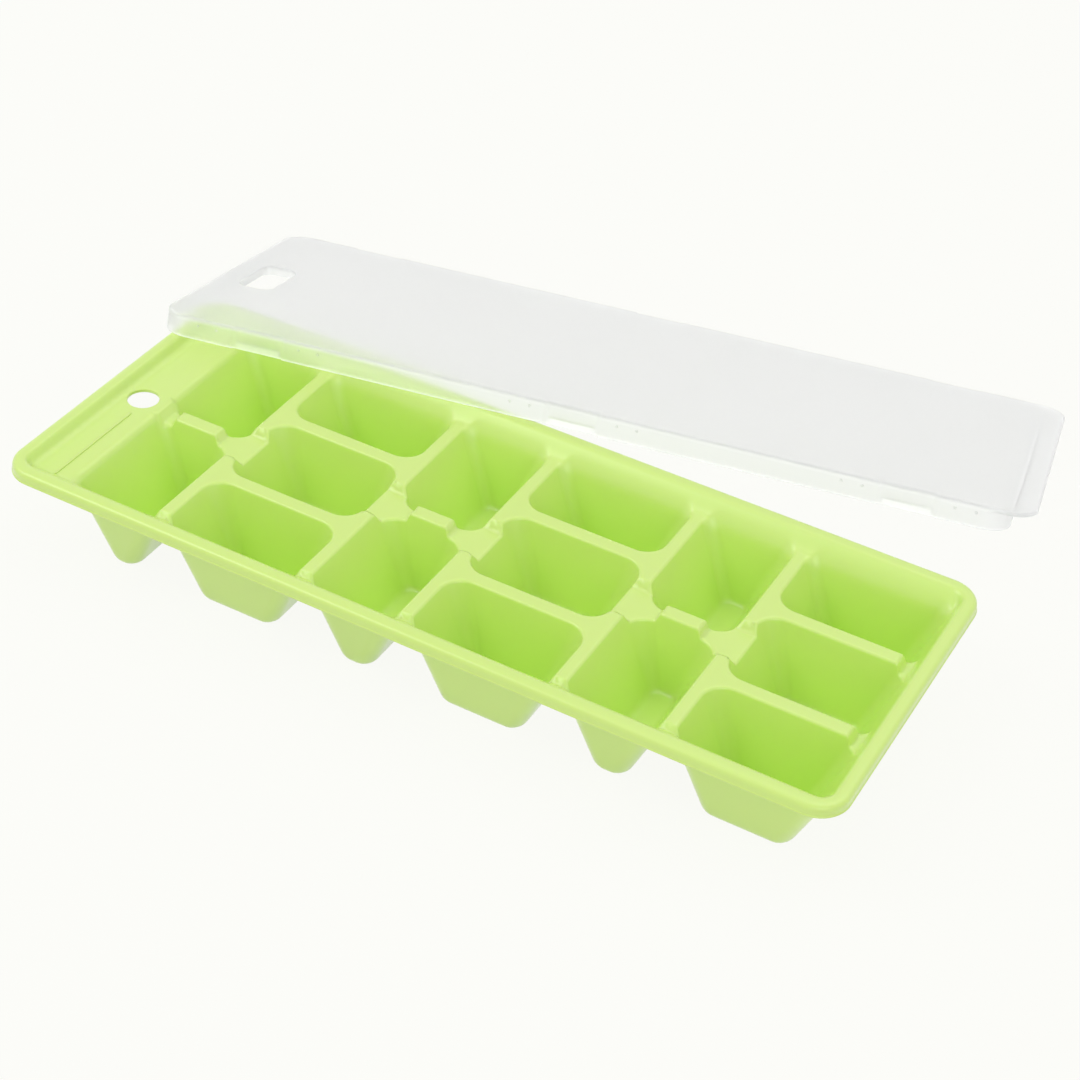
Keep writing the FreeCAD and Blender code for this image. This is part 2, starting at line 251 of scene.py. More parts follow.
def filled(loops: list[Array], spacing: float) -> tuple[Array, Array]:
    """Fills an outline with triangles, except for the holes in it.

    The loops' points and those of a grid that are more than about half a spacing from them are joined, and
    the triangles inside a hole are dropped.

    Args:
        loops: X and Y round the outside, then round each hole.
        spacing: Distance between points of the grid.

    Returns:
        The points, and the triangles with their corners anticlockwise from above.
    """
    low, high = loops[0].min(axis=0), loops[0].max(axis=0)
    grid = np.meshgrid(*(np.arange(a + spacing / 2, b, spacing) for a, b in zip(low, high)))
    spots = np.stack([part.ravel() for part in grid], axis=-1)
    ends = np.vstack(loops)
    gap = np.full(len(spots), np.inf)
    for few in np.array_split(ends, 40):
        gap = np.minimum(gap, np.hypot(*(spots[:, None] - few[None]).transpose(2, 0, 1)).min(axis=1))
    points = np.vstack([ends, spots[gap > 0.55 * spacing]])
    starts = np.cumsum([0] + [len(loop) for loop in loops])
    outlines = [list(range(a, b)) for a, b in zip(starts[:-1], starts[1:])]
    made = delaunay_2d_cdt([Vector(point) for point in points.tolist()], [], outlines, 0, 1e-5)
    faces = np.array([face for face, inside in zip(made[2], made[5]) if inside == [0]])
    return np.array([tuple(point) for point in made[0]]), faces


# ---- the tray's form
@dataclass(frozen=True)
class TrayForm:
    """Sizes of the moulded tray, and the heights of its deck and of the deck's underside.

    The roundings of a mouth, outwards and down, are given beside the ledge, at the far end and at the two
    sides. On the ribs they are the ribs' own.
    """

    height: float = 31.0
    wall: float = 1.3
    rim_width: float = 4.7
    rim_skirt: float = 3.8
    rim_corner: float = 10.0
    rim_rounding: float = 1.9
    draft_along: float = 22.8
    draft_across: float = 8.0
    cell_long: float = 46.0
    cell_short: float = 30.0
    cell_first: float = 28.7
    rib: float = 4.0
    cross_rib: float = 5.0
    middle_cell: float = 30.0
    cell_corner: float = 7.0
    wall_corner: float = 4.2
    floor_corner: float = 3.2
    floor_rounding: float = 2.0
    rib_drop: float = 4.4
    rib_rounding: float = 0.9
    side_slope: float = 4.7
    side_cell: float = 25.6
    overflow_depth: float = 3.0
    overflow_half: float = 7.2
    overflow_step: float = 1.5
    bar: float = 12.0
    first_bar: float = 14.8
    first_bar_setback: float = 5.7
    saddle: float = 2.2
    end_saddle: float = 3.6
    ledge_drop: float = 3.5
    ledge_width: float = 16.4
    hole_radius: float = 5.0
    hole_setback: float = 7.9
    line_length: float = 37.5
    line_width: float = 0.8
    line_height: float = 0.4
    line_to_hole: float = 3.5
    line_setback: float = 9.5
    side_blend: float = 0.5
    ledge_run: float = 6.0
    edge_run: float = 1.2
    mouth_out: Four = (2.2, 0.2, 2.8, 2.8)
    mouth_down: Four = (2.2, 1.0, 5.0, 5.0)
    cup_out: Four = (0.6, 0.2, 0.6, 0.6)
    cup_down: Four = (0.6, 0.6, 0.6, 0.6)

    @property
    def lean_x(self) -> float:
        """Level travel of a cross wall for each millimetre of height."""
        return math.tan(math.radians(self.draft_along))

    @property
    def lean_y(self) -> float:
        """The same for a wall that runs along the tray."""
        return math.tan(math.radians(self.draft_across))

    @property
    def rib_top(self) -> float:
        """Height of the rib tops."""
        return self.height - self.rib_drop

    @property
    def ledge_top(self) -> float:
        """Height of the hanging ledge."""
        return self.height - self.ledge_drop

    @property
    def ribs(self) -> list[float]:
        """X of the five ribs across the tray."""
        d = (self.cell_long + self.rib) / 2
        short, long = self.cell_short + self.rib, self.cell_long + self.rib
        return [-d - short - long, -d - short, -d, d, d + short]

    @property
    def first_wall(self) -> float:
        """X of the first cells' wall beside the ledge, level with the rib tops."""
        return self.ribs[0] - self.rib / 2 - self.cell_first

    @property
    def last_wall(self) -> float:
        """X of the last cells' end wall, level with the rib tops."""
        return self.ribs[-1] + self.rib / 2 + self.cell_long

    @property
    def side_wall(self) -> float:
        """Y of the side walls, level with the rib tops."""
        return self.middle_cell / 2 + self.cross_rib + self.side_cell

    @property
    def rim_inside(self) -> Plan:
        """Inside edge of the rim's top."""
        reach = self.side_wall + self.side_slope
        return Plan(self.first_wall - self.ledge_width, self.last_wall + self.rib_drop * self.lean_x,
                    -reach, reach, self.rim_corner - self.rim_width)

    def cells(self) -> list[Plan]:
        """Mouths of the fifteen cells, level with the rib tops, row by row from the ledge."""
        half, inner = self.cross_rib / 2, self.middle_cell / 2 + self.cross_rib
        lefts = [self.first_wall] + [x + self.rib / 2 for x in self.ribs]
        rights = [x - self.rib / 2 for x in self.ribs] + [self.last_wall]
        pair = [(-self.side_wall, -half), (half, self.side_wall)]
        three = [(-self.side_wall, -inner), (-self.middle_cell / 2, self.middle_cell / 2),
                 (inner, self.side_wall)]
        return [Plan(left, right, y0, y1, self.cell_corner)
                for row, (left, right) in enumerate(zip(lefts, rights))
                for y0, y1 in (three if row % 2 else pair)]

    def notches(self) -> list[Four]:
        """Level floors of the overflow notches as x0, x1, y0, y1."""
        step, past = self.overflow_step, self.rib / 2 + self.cell_corner
        floors = []
        for i, x in enumerate(self.ribs):
            to_bar = (self.cell_short - self.bar) / 2 + self.rib / 2 - step
            if i == 0:
                to_bar = self.cell_first - self.first_bar_setback - self.first_bar + self.rib / 2 - step
            before = i % 2 == 0
            floors.append((x - (to_bar if before else past), x + (past if before else to_bar),
                           -self.overflow_half, self.overflow_half))
            floors.append((x - past, x + past, -self.side_wall - past, -self.side_wall + self.saddle))
        half = self.cross_rib / 2 + self.cell_corner
        middle = (self.middle_cell + self.cross_rib) / 2
        for y in (-middle, middle):
            floors.append((self.last_wall - self.end_saddle, self.last_wall + past, y - half, y + half))
        floors.append((self.first_wall - past, self.first_wall + self.first_bar_setback - step, -half, half))
        return floors

    def rib_height(self, x: Array, y: Array, below: float = 0.0) -> Array:
        """Height of the rib tops with their notches and the ledge, without the rim's slopes.

        Each notch is the product of four soft steps, one for each side. The deepest notch wins.

        Args:
            x: Along the tray.
            y: Across the tray.
            below: Lowers the whole surface, for the underside.

        Returns:
            The height at each point.
        """
        step = self.overflow_step
        cut = np.zeros(np.broadcast(x, y).shape)
        for x0, x1, y0, y1 in self.notches():
            along = soft_step((x - x0 + step) / step) * soft_step((x1 + step - x) / step)
            across = soft_step((y - y0 + step) / step) * soft_step((y1 + step - y) / step)
            cut = np.maximum(cut, along * across)
        inside = soft_step((x - self.first_wall) / self.edge_run)
        rise = soft_step((self.first_wall + self.ledge_run - x) / self.ledge_run)
        ledge = (self.ledge_top - self.rib_top) * rise
        return self.rib_top - self.overflow_depth * cut * inside + ledge - below

    def deck_height(self, x: Array, y: Array, below: float = 0.0) -> Array:
        """Height of everything inside the rim: ribs, notches and ledge, rising to the rim round the edge.

        The sides are planes, the far end carries on the cells' wall, and the ledge end is a hollow quarter
        round. With below, each is moved out by that wall thickness.

        Args:
            x: Along the tray.
            y: Across the tray.
            below: Wall thickness down to the surface wanted.

        Returns:
            The height at each point.
        """
        rim = self.rim_inside
        lean = self.side_slope / self.rib_drop
        side = self.rib_top + (np.abs(y) - self.side_wall - below * math.hypot(1.0, lean)) / lean
        end = self.rib_top + (x - self.last_wall - below * math.hypot(1.0, self.lean_x)) / self.lean_x
        radius = self.ledge_drop + below
        centre = rim.x0 + self.ledge_drop
        near = np.clip(centre - x, 0.0, radius)
        hollow = self.height - np.sqrt(np.maximum(radius * radius - near * near, 0.0))
        height = self.rib_height(x, y, below)
        height = np.where(x < centre, np.maximum(height, hollow), height)
        return np.maximum(soft_max(height, side, self.side_blend), end)


class TrayBuilder:
    """Builds the tray as one closed shell: deck, cells, rim, cups and the deck's underside."""

    corner_points = 10
    wall_rings = 7
    mouth_rings = 7
    floor_rings = 6
    mouth_rounds = 16
    hole_loop = Loop.make(0, 0, 14)
    hole_edge = 0.4
    top_spacing = 0.9
    under_spacing = 1.7
    over_rim = -0.9
    under_rim = 0.3
    face_draw = 0.25

    def __init__(self, form: TrayForm) -> None:
        """Keeps the form and starts an empty shell."""
        self.form = form
        self.shell = Shell()

    def loop_for(self, plan: Plan, spacing: float) -> Loop:
        """A loop whose points lie about one spacing apart on that plan."""
        along_x = max(4, round((plan.x1 - plan.x0 - 2 * plan.corner) / spacing))
        along_y = max(4, round((plan.y1 - plan.y0 - 2 * plan.corner) / spacing))
        return Loop.make(along_x, along_y, self.corner_points)

    def legs(self, mouth: Plan, loop: Loop, below: float) -> tuple[Array, Array]:
        """How far a mouth's rounding reaches out over the deck and down the wall, at each point.

        Args:
            mouth: Plan of the mouth.
            loop: Its loop.
            below: Wall thickness for the outside of a cup, or 0.

        Returns:
            The reach outwards and the reach downwards.
        """
        form = self.form
        if below:
            return loop.by_side(*form.cup_out), loop.by_side(*form.cup_down)
        broad = (mouth.x0 < form.first_wall + 1, mouth.x1 > form.last_wall - 1,
                 mouth.y0 < 1 - form.side_wall, mouth.y1 > form.side_wall - 1)
        out, down = (loop.by_side(*np.where(broad, row, form.rib_rounding))
                     for row in (form.mouth_out, form.mouth_down))
        return out, down

    def cell(self, mouth: Plan, below: float, floor: float, spacing: float) -> Array:
        """Adds one cell or cup, from its rounded mouth down its leaning walls to its floor.

        A wall ring at height z has half sizes that shrink by the lean for each millimetre down and a corner
        that narrows to the floor's. The mouth lies where that wall meets the deck, found by repeating.

        Args:
            mouth: Plan of the sharp mouth, level with the rib tops.
            below: Wall thickness for the outside of a cup, or 0 for the room inside a cell.
            floor: Height of the floor.
            spacing: Distance between points along the mouth.

        Returns:
            X and Y of the loop where the deck begins.
        """
        form, loop = self.form, self.loop_for(mouth, spacing)
        x0, x1, y0, y1 = mouth.x0, mouth.x1, mouth.y0, mouth.y1
        centre, floor_corner = ((x0 + x1) / 2, (y0 + y1) / 2), form.floor_corner + below

        def corner_radius(x: float, y: float) -> float:
            """Radius of the mouth's corner there: tighter beside the tray's walls than between ribs."""
            inside = form.first_wall + 2 <= x <= form.last_wall - 2 and abs(y) <= form.side_wall - 2
            return mouth.corner if inside else form.wall_corner + below

        corners = loop.by_corner((corner_radius(x1, y1), corner_radius(x0, y1), corner_radius(x0, y0),
                                  corner_radius(x1, y0)))

        def ring(z: Array) -> Array:
            """Points of the wall at height z, which may differ round the loop."""
            down = form.rib_top - z
            corner = corners + (floor_corner - corners) * down / (form.rib_top - floor)
            x, y = loop.points(centre, (x1 - x0) / 2 - down * form.lean_x,
                               (y1 - y0) / 2 - down * form.lean_y, corner)
            return np.stack([x, y, z + 0.0 * x], axis=-1)

        top = np.full(loop.out_x.shape, form.rib_top - below)
        for _ in range(self.mouth_rounds):
            sharp = ring(top)
            top = (top + form.rib_height(sharp[:, 0], sharp[:, 1], below)) / 2
        sharp = ring(top)
        out, fall = self.legs(mouth, loop, below)
        deck_x = sharp[:, 0] + out * loop.out_x
        deck_y = sharp[:, 1] + out * loop.out_y
        start = np.stack([deck_x, deck_y, form.deck_height(deck_x, deck_y, below)], axis=-1)
        sharp[:, 2] = np.minimum(sharp[:, 2], np.maximum(start[:, 2], top))
        rings = [bend(start, sharp, ring(top - fall), self.mouth_rings)]
        fillet = form.floor_rounding + below / 2
        foot = floor + fillet
        for part in np.linspace(0.0, 1.0, self.wall_rings)[1:]:
            rings.append(ring((top - fall) * (1 - part) + foot * part)[None])
        lowest, edge = ring(np.full_like(top, foot)), ring(np.full_like(top, floor))
        inset = edge - np.stack([loop.out_x, loop.out_y, 0 * loop.out_x], axis=-1) * fillet * 0.8
        rings.append(bend(lowest, edge, inset, self.floor_rings)[1:])
        middle = np.array([centre[0], centre[1], floor])
        for part in (0.6, 0.25):
            rings.append((middle + (inset - middle) * part)[None])
        self.shell.add_rings(np.concatenate(rings), turned=below > 0.0, cap=True)
        return start[:, :2]

    def deck(self, loops: list[Array], below: float, spacing: float) -> None:
        """Adds the surface between the mouths and the rim, with each point at the deck's height.

        Args:
            loops: X and Y round the outside, then round each mouth and the hole.
            below: Wall thickness for the underside, or 0.
            spacing: Distance between points of the grid.
        """
        flat, faces = filled(loops, spacing)
        height = self.form.deck_height(flat[:, 0], flat[:, 1], below)
        self.shell.add(np.column_stack([flat, height]), [faces], turned=below > 0.0)

    def raised_line(self) -> None:
        """Adds the plain raised line on the ledge: a bar with a rounded top, sunk in the ledge."""
        form = self.form
        x, half = form.rim_inside.x0 + form.line_setback, form.line_width / 2
        end = -form.hole_radius - form.line_to_hole
        plan = Plan(x - half, x + half, end - form.line_length, end, half)
        loop = Loop.make(1, 30, 6)

        def ring(out: float, z: float) -> Array:
            """One ring of the bar, moved out from its plan."""
            px, py = loop.on(plan.grown(out, out, plan.corner + out))
            return np.stack([px, py, np.full_like(px, z)], axis=-1)

        low, top = form.ledge_top - 0.3, form.ledge_top + form.line_height
        middle = np.broadcast_to(np.array([x, end - form.line_length / 2, low]), ring(0.0, low).shape)
        dome = bend(ring(0.0, top - 0.3), ring(0.0, top), ring(-0.25, top), 4)
        rings = np.concatenate([np.stack([middle, ring(0.0, low)]), dome])
        self.shell.add_rings(rings, cap=True)

    def build(self) -> bpy.types.Object:
        """Builds the whole tray.

        Returns:
            The finished piece.
        """
        form = self.form
        rim = form.rim_inside
        rim_loop = Loop.make(190, 76, 12)

        def band(out: float, z: float | None, below: float = 0.0) -> Array:
            """One ring of the rim, moved out from its inside edge, at height z or on the deck."""
            x, y = rim_loop.on(rim.grown(out, out, rim.corner + out))
            height = form.deck_height(x, y, below) if z is None else np.full_like(x, z)
            return np.stack([x, y, height], axis=-1)

        soft, radius = self.hole_edge, form.hole_radius
        hole_x = rim.x0 + form.hole_setback
        hole = Plan(hole_x - radius, hole_x + radius, -radius, radius, radius)
        for below, spacing, edge in ((0.0, self.top_spacing, self.over_rim),
                                     (form.wall, self.under_spacing, self.under_rim)):
            by_x = below * math.hypot(1.0, form.lean_x)
            by_y = below * math.hypot(1.0, form.lean_y)
            loops = [band(edge, None, below)[:, :2]]
            for mouth in form.cells():
                grown = mouth.grown(by_x, by_y, mouth.corner + below)
                loops.append(self.cell(grown, below, form.wall - below, spacing))
            ring = self.hole_loop.on(hole.grown(soft, soft, hole.corner + soft))
            loops.append(np.stack(ring, axis=-1))
            self.deck(loops, below, spacing)
        self.rim(band)
        self.hang_hole(hole)
        self.raised_line()
        return self.shell.build("Ice_tray")

    def rim(self, band: Callable[..., Array]) -> None:
        """Adds the rim: over its top, down its lip and back under it to the deck's underside.

        Args:
            band: Gives one ring for an outward distance and a height.
        """
        form = self.form
        width, top, foot, wall = form.rim_width, form.height, form.height - form.rim_skirt, form.wall
        face, soft = width - self.face_draw, form.rim_rounding
        inner, seat = face - wall, top - wall
        corners = (
            (5, (self.over_rim, None), (0.05, top), (1.1, top)),
            (7, (face - soft, top), (face, top), (face, top - soft)),
            (3, (face, foot + 1.1), (face, foot + 0.5), (width, foot + 0.5)),
            (3, (width, foot + 0.35), (width, foot), (width - 0.4, foot)),
            (3, (inner + 0.4, foot), (inner, foot), (inner, foot + 0.4)),
            (3, (inner, seat - 0.8), (inner, seat), (inner - 0.8, seat)),
        )
        rings = [bend(*(band(*spot) for spot in spots), steps) for steps, *spots in corners]
        rings += [band(1.6, seat)[None], band(self.under_rim, None, wall)[None]]
        self.shell.add_rings(np.concatenate(rings), turned=True)

    def hang_hole(self, hole: Plan) -> None:
        """Adds the wall of the hanging hole, with its two softened edges."""
        wall, soft = self.form.wall, self.hole_edge

        def ring(out: float, rise: float, below: float) -> Array:
            """One ring of the hole, above or below one face of the ledge."""
            x, y = self.hole_loop.on(hole.grown(out, out, hole.corner + out))
            return np.stack([x, y, self.form.deck_height(x, y, below) + rise], axis=-1)

        rings = [bend(ring(soft, 0.0, 0.0), ring(0.0, 0.0, 0.0), ring(0.0, -soft, 0.0), 3),
                 bend(ring(0.0, soft, wall), ring(0.0, 0.0, wall), ring(soft, 0.0, wall), 3)]
        self.shell.add_rings(np.concatenate(rings))


# ---- the lid's form
@dataclass(frozen=True)
class LidForm:
    """Sizes of the lid, with its plans in the place where it sits on the tray, and where it now lies."""

    tray: TrayForm = field(default_factory=TrayForm)
    wall: float = 1.2
    clearance: float = 0.3
    skirt: float = 7.4
    tab: float = 7.0
    corner: float = 9.0
    rounding: float = 0.9
    clip_count: int = 3
    first_clip: float = 34.2
    last_clip: float = 31.2
    recess_length: float = 17.2
    recess_depth: float = 0.7
    hook_length: float = 14.4
    hook_reach: float = 0.8
    hook_height: float = 1.9
    nub_radius: float = 0.5
    nub_spacing: float = 6.5
    nub_to_recess: float = 5.6
    slot_length: float = 28.0
    slot_width: float = 12.0
    slot_setback: float = 14.0
    collar_depth: float = 2.0
    collar_wall: float = 1.0
    yaw: float = 11.0
    rest_gap: float = 1.15
    past_end: float = 1.9
    along_end: float = 27.6
    # Weights of the edge bands, which raise the roughness and paint a highlight as emission: on the panel's
    # rim, the skirt's foot, the hooks and round the slot.
    rim_rough_and_painted_highlight: float = 0.4
    hem_rough_and_painted_highlight: float = 0.8
    hook_rough_and_painted_highlight: float = 0.6
    slot_rough_and_painted_highlight: float = 0.25

    @property
    def under(self) -> float:
        """Height of the panel's underside, which seats on the tray's rim."""
        return self.tray.height

    @property
    def top(self) -> float:
        """Height of the panel's top."""
        return self.under + self.wall

    @property
    def foot(self) -> float:
        """Height of the skirt's lower edge."""
        return self.top - self.skirt

    @property
    def hook_top(self) -> float:
        """Height of the hooks' flat tops, just under the tray's rim."""
        return self.under - self.tray.rim_skirt - self.clearance

    @property
    def inside(self) -> Plan:
        """Room inside the skirt."""
        out = self.tray.rim_width + self.clearance
        return self.tray.rim_inside.grown(out, out, self.corner - self.wall)

    @property
    def outside(self) -> Plan:
        """Outside of the skirt."""
        return self.inside.grown(self.wall, self.wall, self.corner)

    @property
    def slot(self) -> Plan:
        """The hanging slot."""
        x, half_x, half_y = self.outside.x0 + self.slot_setback, self.slot_width / 2, self.slot_length / 2
        return Plan(x - half_x, x + half_x, -half_y, half_y, 0.4 * self.slot_width)

    @property
    def clips(self) -> Array:
        """X of the clips along each long side."""
        return np.linspace(self.outside.x0 + self.first_clip, self.outside.x1 - self.last_clip, self.clip_count)

    def near_clip(self, x: Array, length: float, edge: float) -> Array:
        """1 within half a length of any clip and 0 elsewhere, with soft edges."""
        away = np.abs(x[:, None] - self.clips[None, :]).min(axis=1)
        return soft_step((length / 2 + edge / 2 - away) / edge)

    def laid(self, points: Array) -> Array:
        """Moves points from the closed place to where the lid lies: leaning about its far foot, then turned."""
        out = self.outside
        rise = self.tray.height + self.rest_gap
        lean, yaw = math.asin(rise / (out.y1 - out.y0)), math.radians(self.yaw)
        x, y, z = (points - np.array([out.x0, out.y0, self.foot])).T
        y, z = y * math.cos(lean) + z * math.sin(lean), z * math.cos(lean) - y * math.sin(lean) + rise
        x, y = x * math.cos(yaw) - y * math.sin(yaw), x * math.sin(yaw) + y * math.cos(yaw)
        left = self.tray.rim_inside.x0 - self.tray.rim_width - self.past_end
        return np.stack([x + left, y + self.along_end, z], axis=-1)

    def closed(self, points: Array) -> Array:
        """Moves points from where the lid lies back to the closed place, along the laid corner's own axes."""
        frame = self.corner_frame()
        corner, *axes = self.laid(frame)
        return (points - corner) @ (np.array(axes) - corner).T + frame[0]

    def corner_frame(self) -> Array:
        """The closed place's corner, and the points 1 mm from it along X, Y and Z."""
        out = self.outside
        return np.array([out.x0, out.y0, self.foot]) + np.vstack([np.zeros(3), np.eye(3)])

    def edge_weight(self, points: Array) -> Array:
        """How much of the rougher finish and the painted highlight each point gets: 0 on open faces, 1 on edges
        and hooks.

        Args:
            points: Points of the closed lid.

        Returns:
            The largest of soft bands along the panel's rim, the skirt's foot, the slot and the hooks.
        """
        x, y, z = points.T
        out = self.outside
        top = Plan(out.x0, out.x1 + self.tab, out.y0, out.y1, out.corner)
        rim = soft_step((top.distance(x, y) + 1.3) / 0.6) * soft_step((z - self.top + 1.9) / 0.5)
        hem = soft_step((self.foot + 0.75 - z) / 0.35)
        low = soft_step((self.hook_top + 0.35 - z) / 0.3)
        hook = self.near_clip(x, self.hook_length + 0.6, 0.6) * low * (np.abs(y) > out.y1 - 3.0)
        slot = soft_step((0.7 - self.slot.distance(x, y)) / 0.5)
        return np.maximum.reduce([self.rim_rough_and_painted_highlight * rim, self.hem_rough_and_painted_highlight * hem, self.hook_rough_and_painted_highlight * hook,
                                  self.slot_rough_and_painted_highlight * slot])


class LidBuilder:
    """Builds the lid as one closed skin: the slot and its collar, the panel's two faces, and the skirt."""

    panel_spacing = 6.0

    def __init__(self, form: LidForm) -> None:
        """Keeps the form and starts an empty shell."""
        self.form = form
        self.shell = Shell()
        self.loop = Loop.make(380, 110, 12)
        self.at_tab = ((self.loop.order <= 0.0) | (self.loop.order == 3.0)).astype(float)

    def ring(self, plan: Plan, z: Array | float, tab: float = 0.0, recess: bool = False,
             reach: float = 0.0) -> Array:
        """One ring of the skin.

        Args:
            plan: Its plan.
            z: Its height.
            tab: How far the +X end reaches past the plan.
            recess: Draws the ring in at the clips' recesses.
            reach: Draws the ring in at the hooks, by this much.

        Returns:
            The ring's points.
        """
        form = self.form
        x, y = self.loop.on(plan)
        if recess:
            y = y - np.sign(y) * form.recess_depth * form.near_clip(x, form.recess_length, 0.5)
        y = y - np.sign(y) * reach * form.near_clip(x, form.hook_length, 0.4)
        return np.stack([x + tab * self.at_tab, y, z + 0.0 * x], axis=-1)

    def add(self, rings: list[Array]) -> None:
        """Adds a stretch of the skin, laid in its place."""
        skin = np.concatenate(rings)
        self.shell.add_rings(self.form.laid(skin.reshape(-1, 3)).reshape(skin.shape), turned=True)

    def sheet(self, outer: Array, inner: Array, turned: bool) -> None:
        """Adds a flat face of the panel between two level rings, laid in its place."""
        flat, faces = filled([outer[:, :2], inner[:, :2]], self.panel_spacing)
        level = np.column_stack([flat, np.full(len(flat), outer[0, 2])])
        self.shell.add(self.form.laid(level), [faces], turned)

    def build(self) -> bpy.types.Object:
        """Builds the whole lid, laid in its place.

        Returns:
            The finished piece.
        """
        form, ring = self.form, self.ring
        out, room, slot, tab, soft = form.outside, form.inside, form.slot, form.tab, form.rounding
        top, under, foot, hook_top = form.top, form.under, form.foot, form.hook_top

        def inset(plan: Plan, by: float) -> Plan:
            """The plan drawn in on every side."""
            return plan.grown(-by, -by, plan.corner - by)

        def round_slot(plan: Plan, z: float, out: float, rise: float) -> Array:
            """Rounded edge between a plan's face at height z + rise and its wall, moved out at height z."""
            return bend(ring(inset(plan, -out), z), ring(plan, z), ring(plan, z + rise), 3)

        mouth = bend(ring(slot, top - 0.5), ring(slot, top), ring(inset(slot, -0.5), top), 4)
        edge = bend(ring(inset(out, soft), top, tab, True), ring(out, top, tab, True),
                    ring(out, top - soft, tab, True), 6)
        at_end = self.at_tab
        lip = [ring(out, under + 0.2 * at_end, tab, True),
               ring(inset(out, 0.1), under, tab - 0.1, True),
               ring(out, under - 0.2 * (1 - at_end), 1.0, True),
               ring(out, under - 0.4 + 0.3 * at_end, 0.2, True),
               ring(out, under - 0.7, 0.0, True)]
        lip[1][:, :2] = lip[1][:, :2] * at_end[:, None] + lip[0][:, :2] * (1 - at_end[:, None])
        walls = np.stack([ring(out, z, 0.0, True) for z in np.linspace(under - 1.5, foot + 0.9, 5)])
        hem = bend(ring(out, foot + 0.45, 0.0, True), ring(out, foot, 0.0, True),
                   ring(inset(out, 0.4), foot, 0.0, True), 4)
        inner = bend(ring(inset(room, -0.2), foot), ring(room, foot), ring(room, foot + 0.18), 2)
        ramp = ((hook_top - 2 * form.hook_height / 3, 1.0), (hook_top - 0.3, 1.0), (hook_top - 0.05, 0.75),
                (hook_top + 0.1, 0.2), (hook_top + 0.25, 0.0))
        hooks = np.stack([ring(room, foot + 0.25)]
                         + [ring(room, z, reach=form.hook_reach * part) for z, part in ramp])
        ceiling = bend(ring(room, under - 0.5), ring(room, under), ring(inset(room, 0.5), under), 4)
        around = inset(slot, -form.collar_wall)
        collar = round_slot(around, under, 0.4, -0.4)
        low = under - form.collar_depth
        lower = round_slot(around, low, -0.4, 0.3)[::-1]
        back = round_slot(slot, low, 0.4, 0.3)
        hold = ring(inset(out, soft + 0.4), top, tab, True)
        self.add([collar, lower, back, mouth])
        self.sheet(hold, mouth[-1], turned=False)
        self.add([hold[None], edge, np.stack(lip), walls, hem, inner, hooks, ceiling])
        self.sheet(ceiling[-1], collar[0], turned=True)
        self.nubs()
        piece = self.shell.build("Lid")
        self.mark_edges(piece.data)
        return piece

    def mark_edges(self, mesh: bpy.types.Mesh) -> None:
        """Stores each point's share of the rougher finish and the painted highlight, and shades the faces that
        lie level on the lid flat.
        """
        form = self.form
        spots, facing = np.empty(3 * len(mesh.vertices)), np.empty(3 * len(mesh.polygons))
        mesh.vertices.foreach_get("co", spots)
        mesh.polygons.foreach_get("normal", facing)
        weight = form.edge_weight(form.closed(spots.reshape(-1, 3) / MM))
        mesh.attributes.new("edge", "FLOAT", "POINT").data.foreach_set("value", weight)
        frame = form.laid(form.corner_frame())
        level = np.abs(facing.reshape(-1, 3) @ (frame[3] - frame[0])) >= 0.99999
        mesh.polygons.foreach_set("use_smooth", ~level)

    def nubs(self) -> None:
        """Adds the small round nubs on the skirt: balls half sunk in it, two each side of every clip."""
        form = self.form
        first = form.recess_length / 2 + form.nub_to_recess
        turn, rise = np.meshgrid(np.linspace(0.0, math.tau, 12, endpoint=False), np.linspace(0.0, math.pi, 7))
        across = np.sin(rise)
        ball = np.stack([across * np.cos(turn), 0.55 * np.cos(rise), across * np.sin(turn)], axis=-1)
        z = (form.hook_top + form.top) / 2
        for x in form.clips:
            for side in (form.outside.y0, form.outside.y1):
                for step in (-first - form.nub_spacing, -first, first, first + form.nub_spacing):
                    rings = ball * form.nub_radius + np.array([x + step, side, z])
                    self.shell.add_rings(form.laid(rings.reshape(-1, 3)).reshape(rings.shape))


# ---- finishes
class Slot(Enum):
    """Material slots of the part."""

    TRAY = "tray_plastic"
    LID = "lid_plastic"


def moulded_grain() -> bpy.types.NodeTree:
    """Builds the group for moulded plastic's unevenness: a fine grain as height and a slow drift of tone."""
    group = bpy.data.node_groups.new("moulded_grain", "ShaderNodeTree")
    for label, value in (("Grain scale", 900.0), ("Drift scale", 18.0), ("Grain", 0.5)):
        socket = group.interface.new_socket(name=label, in_out="INPUT", socket_type="NodeSocketFloat")
        socket.default_value = value
    for label in ("Height", "Tone"):
        group.interface.new_socket(name=label, in_out="OUTPUT", socket_type="NodeSocketFloat")
    nodes, links = group.nodes, group.links
    given, result = nodes.new("NodeGroupInput"), nodes.new("NodeGroupOutput")
    place, scaled = nodes.new("ShaderNodeTexCoord"), nodes.new("ShaderNodeMath")
    fine, slow = nodes.new("ShaderNodeTexNoise"), nodes.new("ShaderNodeTexNoise")
    for node, label, detail in ((fine, "Grain scale", 2.0), (slow, "Drift scale", 1.0)):
        node.inputs["Detail"].default_value = detail
        links.new(place.outputs["Object"], node.inputs["Vector"])
        links.new(given.outputs[label], node.inputs["Scale"])
    scaled.operation = "MULTIPLY"
    links.new(fine.outputs["Fac"], scaled.inputs[0])
    links.new(given.outputs["Grain"], scaled.inputs[1])
    links.new(scaled.outputs[0], result.inputs["Height"])
    links.new(slow.outputs["Fac"], result.inputs["Tone"])
    return group


def either(tree: bpy.types.NodeTree, first: bpy.types.NodeSocket,
           second: bpy.types.NodeSocket) -> bpy.types.NodeSocket:
    """1 where either of two masks is 1, as a Maximum node gives it."""
    node = tree.nodes.new("ShaderNodeMath")
    node.operation = "MAXIMUM"
    tree.links.new(first, node.inputs[0])
    tree.links.new(second, node.inputs[1])
    return node.outputs[0]


